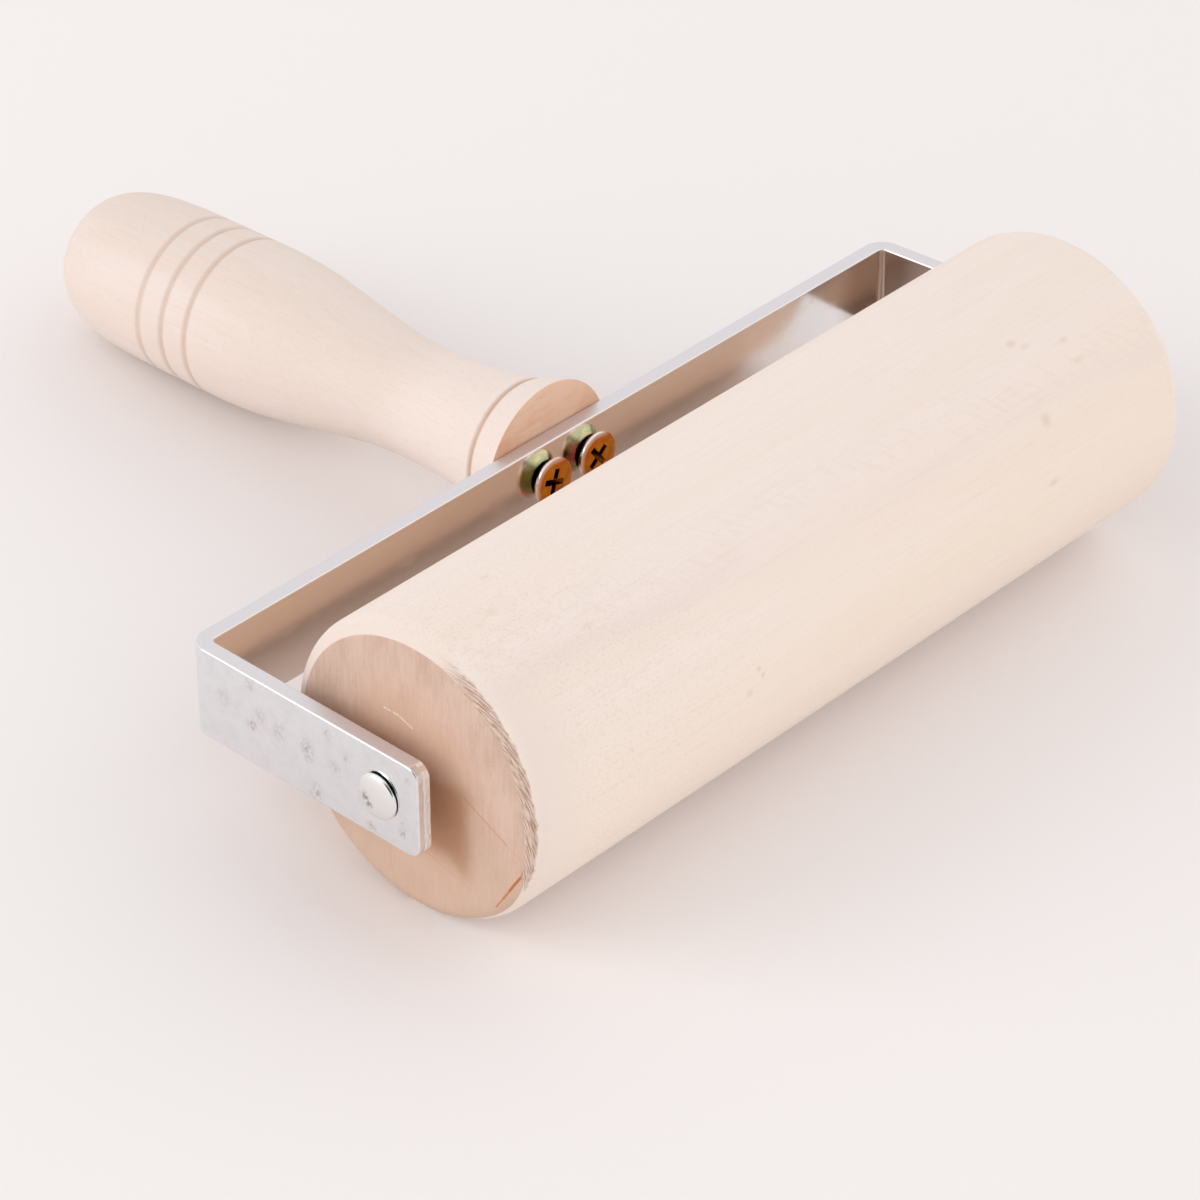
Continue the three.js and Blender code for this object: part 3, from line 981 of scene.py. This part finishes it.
def makeRecess():  # a tapered cross, cut into the head's face
    wing = screw["recessWing"]
    depth = screw["recessDepth"]
    middle = Vector((0, 0, 0))
    pickNothing()
    bpy.ops.mesh.primitive_cube_add(size=1)
    bpy.context.object.scale = (wing, 2 * depth, wing)
    punch = settle("recessPunch")
    for direction in (axisX, -axisX, Vector((0, 0, 1)), Vector((0, 0, -1))):
        pickFaces(punch, lambda centre, normal: normal.dot(direction) > sameWay
                  and (centre - direction * wing / 2).length < 0.1 * wing)
        reach = (screw["recessSpan"] - wing) / 2
        extrude(direction * reach)
    taper = screw["recessTip"] / screw["recessSpan"]
    for inward, share in ((1, taper), (-1, 2 - taper)):
        pickFaces(punch, lambda centre, normal: normal.y * inward > sameWay)
        bpy.ops.transform.resize(value=(share, 1, share), center_override=middle)
    setMode("OBJECT")
    return punch


def makeThread(start, end):
    pickNothing()
    ridge = (screw["threadRadius"] - screw["coreRadius"]) * screw["ridgeReach"]
    bpy.ops.mesh.primitive_circle_add(vertices=3, radius=ridge, fill_type="NOTHING",
                                      rotation=(0, 0, -math.pi / 2))
    coil = settle("screwThread")
    editAll(coil)
    bpy.ops.transform.resize(value=(1, screw["ridgeSquash"], 1), center_override=(0, 0, 0))
    bpy.ops.transform.translate(value=(screw["threadRadius"] - ridge, start, 0))
    setMode("OBJECT")
    turns = int((end - start) / screw["pitch"])
    steps = screw["threadSteps"]
    applyModifier(coil, "SCREW", axis="Y", angle=2 * math.pi, screw_offset=screw["pitch"],
                  iterations=turns, steps=steps, render_steps=steps, use_merge_vertices=False)
    editAll(coil)
    bpy.ops.mesh.fill_holes(sides=3)
    bpy.ops.mesh.normals_make_consistent(inside=False)
    setMode("OBJECT")
    return coil


def makeScrew(name):  # with its head's face at the origin, pointing along y
    headRadius = screw["headRadius"]
    rim = screw["headRim"]
    edge = screw["edgeRound"]
    edgeMiddle = edge * screw["edgeMiddle"]
    shank = screw["threadRadius"]
    core = screw["coreRadius"]
    coneEnd = rim + headRadius - shank
    neckEnd = coneEnd + bracket["thickness"]
    threadStart = neckEnd + shank - core
    threadEnd = screw["length"] - screw["tip"]
    rings = [
        (0, headRadius - edge),
        (edgeMiddle, headRadius - edgeMiddle),
        (edge, headRadius),
        (rim, headRadius),
        (coneEnd, shank),
        (neckEnd, shank),
        (threadStart, core),
        (threadEnd, core),
        (screw["length"], screw["pointRadius"]),
    ]
    piece = turnPiece(name, Vector((0, 0, 0)), axisY, rings, screw["sides"])
    combine(piece, makeRecess(), "DIFFERENCE")
    combine(piece, makeThread(threadStart, threadEnd), "UNION")
    finishMesh(piece, screw["smoothAngle"])
    return piece


yellowZinc = {
    "gold": (0.72, 0.31, 0.02),
    "amber": ((0.66, 0.2, 0.02), 0.38, 0.62),
    # painted highlight of the sky on the head's rim
    "rim": (0.86, 0.74, 0.68),
    "straw": (0.82, 0.82, 0.5),
    "green": ((0.6, 0.7, 0.42), 0.42, 0.56),
    "olive": ((0.2, 0.2, 0.06), 0.4, 0.55),
    "russet": (0.42, 0.14, 0.1),
    # painted shade in the cross recess
    "recess": (0.16, 0.055, 0.008),
    "roughness": (0.14, 0.26),
    "depth": 0.006 * mm,
    "driftNoise": ((0.35, 0.5, 0.35), 2.0, 0.5, 0.0),
    "filmNoise": ((0.4, 0.7, 0.4), 1.0, 0.5, 0.0),
    "filmShift": (7, 3, 5),
    "upperFrom": (1.8, 3.2),  # millimetres up, where the cone under the head is painted paler: a painted highlight at the top and painted shade below, over the film's own green and russet colours
    "underFrom": (0.4, 0.8),  # millimetres behind the head's face
    "rimFrom": (3.0, 3.8),  # millimetres from the head's middle
    "rimTo": (0.75, 0.4),
    "highlightLean": (0.0, 3.0),  # only at the upper left, where the painted highlight falls
    "recessFrom": (0.02, 0.1),
    "recessTo": (2.2, 1.9),
    "recessReach": (2.5, 2.3),
}


def makeYellowZinc(name, place, shift):
    look = yellowZinc
    material, shader = newMaterial(name)
    coords = pieceCoords(shader, place)
    sideways, depth, up = split(coords)
    away = length(join(x=sideways, z=up))
    own = Vector((shift, 0, 0))
    drift = speckle(coords, *look["driftNoise"], own)
    film = speckle(coords, *look["filmNoise"], own + Vector(look["filmShift"]))
    face = tint(look["gold"], drift, *look["amber"])
    # the film's own colours, painted darker below and paler at the top as painted shade and painted highlight
    lower = tint(look["russet"], film, *look["olive"])
    upper = tint(look["straw"], film, *look["green"])
    under = tint(lower, up, upper, *look["upperFrom"])
    colour = tint(face, depth, under, *look["underFrom"])
    # painted highlight on the head's rim, at the upper left
    upperLeft = ramp(minus(up, sideways), *look["highlightLean"])
    rim = times(ramp(away, *look["rimFrom"]), ramp(depth, *look["rimTo"]), upperLeft)
    colour = paint(rim, colour, look["rim"])
    # painted shade in the cross recess
    recess = times(ramp(depth, *look["recessFrom"]),
                   ramp(depth, *look["recessTo"]), ramp(away, *look["recessReach"]))
    colour = paint(recess, colour, look["recess"])
    roughness = between(drift, *look["roughness"])
    coat(shader, colour, roughness, drift, look["depth"], metal)
    return material


leftScrew = makeScrew("handle_screw_left_cut")
rightScrew = copyPiece(leftScrew, "handle_screw_right_cut", Matrix())
headPlace = bracket["backOutside"] - bracket["thickness"] - screw["proud"]
screws = zip(("left", "right"), (leftScrew, rightScrew), screwPlaces, screw["recessTurns"])
for name, piece, x, turn in screws:
    place = heldPlace @ Matrix.Translation((x, headPlace, screw["lift"]))
    placePiece(piece, place @ Matrix.Rotation(math.radians(turn), 4, "Y"))
    film = makeYellowZinc("yellowZinc_" + name, place, x / mm)
    dress(piece, film, "frame", "handle_screw_" + name)
print("wood screws cut")


# Handle, in the held frame

handle = {
    "length": 101.2 * mm,
    "frontRadius": 13.4 * mm,
    "frontRound": 0.5 * mm,
    "frontRings": [(0, 1), (0.3, 0.29)],  # along and inward, in shares of the round
    "frontEnd": 0.9,
    "waistRadius": 9.15 * mm,
    "waistPlace": 26 * mm,
    "bellyRadius": 13.45 * mm,
    "bellyPlace": 64 * mm,
    "flarePower": 2.5,
    "swellSkew": 0.95,
    "buttPower": 5.5,
    "buttRoundness": 3.2,
    "side": -1 * mm,  # off the bracket's middle
    "seatGap": 0.3 * mm,
    "grooves": [6.2 * mm, 66.6 * mm, 71.9 * mm, 77.2 * mm],
    "grooveWidth": 1.6 * mm,
    "grooveDepth": 0.35 * mm,
    "grooveSteps": 8,
    "grooveMargin": 0.1 * mm,
    "step": 0.9 * mm,
    "buttSteps": 28,
    "sides": 128,
    "pilotRadius": 2.3 * mm,
    "pilotEndGap": 1 * mm,
    "pilotLead": 5 * mm,
    "pilotSides": 32,
}
handleSeat = bracket["backOutside"] + handle["seatGap"]
handleCentre = Vector((bracketMiddle + handle["side"], handleSeat, screw["lift"]))


def handleRadius(along):
    waist = handle["waistRadius"]
    belly = handle["bellyRadius"]
    if along < handle["waistPlace"]:
        share = 1 - along / handle["waistPlace"]
        return waist + (handle["frontRadius"] - waist) * share ** handle["flarePower"]
    if along < handle["bellyPlace"]:
        share = (along - handle["waistPlace"]) / (handle["bellyPlace"] - handle["waistPlace"])
        return waist + (belly - waist) * (0.5 - 0.5 * math.cos(math.pi * share ** handle["swellSkew"]))
    share = min((along - handle["bellyPlace"]) / (handle["length"] - handle["bellyPlace"]), 1)
    return belly * (1 - share ** handle["buttPower"]) ** (1 / handle["buttRoundness"])


def handleRings():
    half = handle["grooveWidth"] / 2
    clear = half + handle["grooveMargin"]
    rings = []
    buttStart = handle["grooves"][-1] + 2 * handle["grooveWidth"]
    steps = round(buttStart / handle["step"])
    for step in range(1, steps + 1):
        along = buttStart * step / steps
        if all(abs(along - place) > clear for place in handle["grooves"]):
            rings.append((along, handleRadius(along)))
    for step in range(1, handle["buttSteps"]):
        share = math.sin(math.pi / 2 * step / handle["buttSteps"])
        along = buttStart + (handle["length"] - buttStart) * share
        rings.append((along, handleRadius(along)))
    for place in handle["grooves"]:
        for step in range(handle["grooveSteps"] + 1):
            share = 2 * step / handle["grooveSteps"] - 1
            along = place + half * share
            dip = handle["grooveDepth"] * (0.5 + 0.5 * math.cos(math.pi * share))
            rings.append((along, handleRadius(along) - dip))
    rings.sort()
    front = handle["frontRound"]
    face = [(along * front, handleRadius(0) - inward * front) for along, inward in handle["frontRings"]]
    return face + [ring for ring in rings if ring[0] > handle["frontEnd"] * front]


def makeHandle():
    piece = turnPiece("handle_turned", handleCentre, axisY, handleRings(), handle["sides"])
    screwEnd = headPlace + screw["length"]
    for x in screwPlaces:
        start = Vector((x, handleCentre.y - handle["pilotLead"], screw["lift"]))
        end = Vector((x, screwEnd + handle["pilotEndGap"], screw["lift"]))
        drill = addRod("pilotDrill", handle["pilotRadius"], start, end, handle["pilotSides"])
        combine(piece, drill, "DIFFERENCE")
    finishMesh(piece)
    placePiece(piece, heldPlace)
    return piece


handleWood = {
    "pale": (0.803, 0.69, 0.632),
    "warm": ((0.788, 0.664, 0.59), 0.38, 0.62),
    "rosy": ((0.767, 0.649, 0.596), 0.5, 0.75, 0.45),
    "pore": (0.58, 0.44, 0.35),
    "burnt": (0.53, 0.33, 0.22),
    "bare": ((0.87, 0.75, 0.69), 32, 18, 0.7),  # millimetres from the front, where the side turns paler
    "endPale": (0.86, 0.61, 0.475),
    "endDark": ((0.78, 0.46, 0.29), 0.6, 1.05),
    "roughness": (0.5, 0.66),
    "heights": (0.2, 0.3),  # of the side's and the end's grain
    "depth": 0.1 * mm,
    "noise": {
        "broad": ((0.012, 0.1, 0.1), 3.0, 0.5, 0.0, (3, 11, 5)),
        "lines": ((0.008, 0.9, 0.9), 3.0, 0.6, 0.0, (9, 2, 7)),
        "fine": ((0.06, 2.8, 2.8), 3.0, 0.6),
        "fuzz": ((1.1, 2.4, 2.4), 2.0),
        "scorch": ((0.2, 0.2, 0.2), 2.0),
        "endGrain": ((0.3, 0.16, 0.7), 3.0, 0.5),
        "cloud": ((0.12, 0.12, 0.12), 3.0),
    },
    "fineFade": (0.48, 0.75, 0.13),
    "fuzzFade": (0.5, 0.75, 0.1),
    "scorchShares": (0.6, 1.4),
    "burntReach": 0.9,  # millimetres each side of a groove's middle
    "burntShares": [0.85, 0.42, 0.38, 0.35],
    "endWeights": (0.6, 1.0),
    "endFade": (0.3, 0.1),
}


def makeHandleWood():
    look = handleWood
    material, shader = newMaterial("handleWood")
    place = heldPlace @ Matrix.Translation(handleCentre) @ Matrix.Rotation(math.pi / 2, 4, "Z")
    coords = pieceCoords(shader, place)
    along = split(coords)[0]
    noise = speckles(coords, look["noise"])
    side = tint(look["pale"], noise["broad"], *look["warm"])
    side = tint(side, noise["lines"], *look["rosy"])
    side = tint(side, along, *look["bare"])
    side = tint(side, noise["fine"], look["pore"], *look["fineFade"])
    side = tint(side, noise["fuzz"], look["pore"], *look["fuzzFade"])
    scorch = between(noise["scorch"], *look["scorchShares"])
    for groove, share in zip(handle["grooves"], look["burntShares"]):
        burn = bandShare(along, groove / mm, look["burntReach"], share)
        side = paint(times(burn, scorch), side, look["burnt"])
    tone = weigh((noise["endGrain"], noise["cloud"]), look["endWeights"])
    end = tint(look["endPale"], tone, *look["endDark"])
    isEnd = ramp(along, *look["endFade"])
    colour = paint(isEnd, side, end)
    roughness = between(noise["fine"], *look["roughness"])
    height = weigh((noise["fine"], times(noise["endGrain"], isEnd)), look["heights"])
    coat(shader, colour, roughness, height, look["depth"], bareWood)
    return material


handlePiece = makeHandle()
dress(handlePiece, makeHandleWood(), "frame", "handle")
print("handle turned")


# Floor, light and camera

view = {
    "place": (-0.502498, -0.438183, 0.488883),
    "azimuth": -50.9159,
    "elevation": 37.0159,
    "roll": 4.8616,
    "lens": 156.311,
    "sensor": 36,
    "clip": 0.01,
}
studio = {
    "floorSize": 8.0,
    "floor": {"Base Color": (0.9, 0.86, 0.855, 1), "Roughness": 0.7, "Specular IOR Level": 0.2},
    "skyColour": (1.0, 0.99, 0.985, 1),
    "skyEven": 0.18,  # light from all round
    "skySides": [  # where more light comes from, and how much
        ((-1, 0, 0), 0.86),
        ((1, 0, 0), 1.3),
        ((0, 1, 0), 0.33),
        ((0, -1, 0), 0.8),
    ],
    "skyFocus": 3.0,  # how narrow each side's light is
    "skySeen": 1.0,  # how bright the sky looks in reflections
    "cameraSeen": 0.08,  # the dark camera side, in reflections
    "cameraReach": (40, 16),  # degrees from its middle, where that patch ends and is full
    "boxPlace": (-1.3, 0.8, 0.75),  # the soft box, behind on the left
    "boxWatts": 8.6,
    "boxWidth": 1.0,
    "aim": (0, -0.02, 0.02),
}


def makeFloor():
    pickNothing()
    bpy.ops.mesh.primitive_plane_add(size=studio["floorSize"])
    floor = settle("floor")
    material, shader = newMaterial("paleFloor")
    setPlain(shader, studio["floor"])
    floor.data.materials.append(material)


def makeSky():
    world = bpy.data.worlds.new("studioSky")
    world.use_nodes = True
    bpy.context.scene.world = world
    tree = world.node_tree
    tree.nodes.clear()
    direction = addNode(tree, "TexCoord").outputs["Generated"]
    light = studio["skyEven"]
    for side, level in studio["skySides"]:
        towards = times(plus(dot(direction, side), 1.0), 0.5)
        focused = calc("POWER", towards, studio["skyFocus"])
        light = plus(light, times(focused, level))
    toCamera = (Vector(view["place"]) - Vector(studio["aim"])).normalized()
    facing = dot(direction, toCamera)
    outer, inner = (math.cos(math.radians(reach)) for reach in studio["cameraReach"])
    reflected = between(ramp(facing, outer, inner), studio["skySeen"], studio["cameraSeen"])
    rays = addNode(tree, "LightPath").outputs
    strength = feed("Mix", {0: rays["Is Glossy Ray"], 2: light, 3: reflected}).outputs[0]
    sky = feed("Background", {"Color": studio["skyColour"], "Strength": strength})
    feed("OutputWorld", {"Surface": sky.outputs["Background"]})


def makeSoftBox():
    pickNothing()
    place = Vector(studio["boxPlace"])
    turn = (place - Vector(studio["aim"])).to_track_quat("Z", "Y").to_euler()
    bpy.ops.object.light_add(type="AREA", location=place, rotation=turn)
    lamp = bpy.context.object.data
    lamp.energy = studio["boxWatts"]
    lamp.size = studio["boxWidth"]


makeFloor()
makeSky()
makeSoftBox()
bpy.context.scene.view_settings.view_transform = "Standard"
print("studio set")

pickNothing()
bpy.ops.object.camera_add()
camera = bpy.context.object
camera.data.lens = view["lens"]
camera.data.sensor_width = view["sensor"]
camera.data.clip_start = view["clip"]
camera.matrix_world = (
    Matrix.Translation(view["place"])
    @ Matrix.Rotation(math.radians(view["azimuth"]), 4, "Z")
    @ Matrix.Rotation(math.radians(90 - view["elevation"]), 4, "X")
    @ Matrix.Rotation(math.radians(view["roll"]), 4, "Z")
)
bpy.context.scene.camera = camera
pickNothing()
print("camera placed")
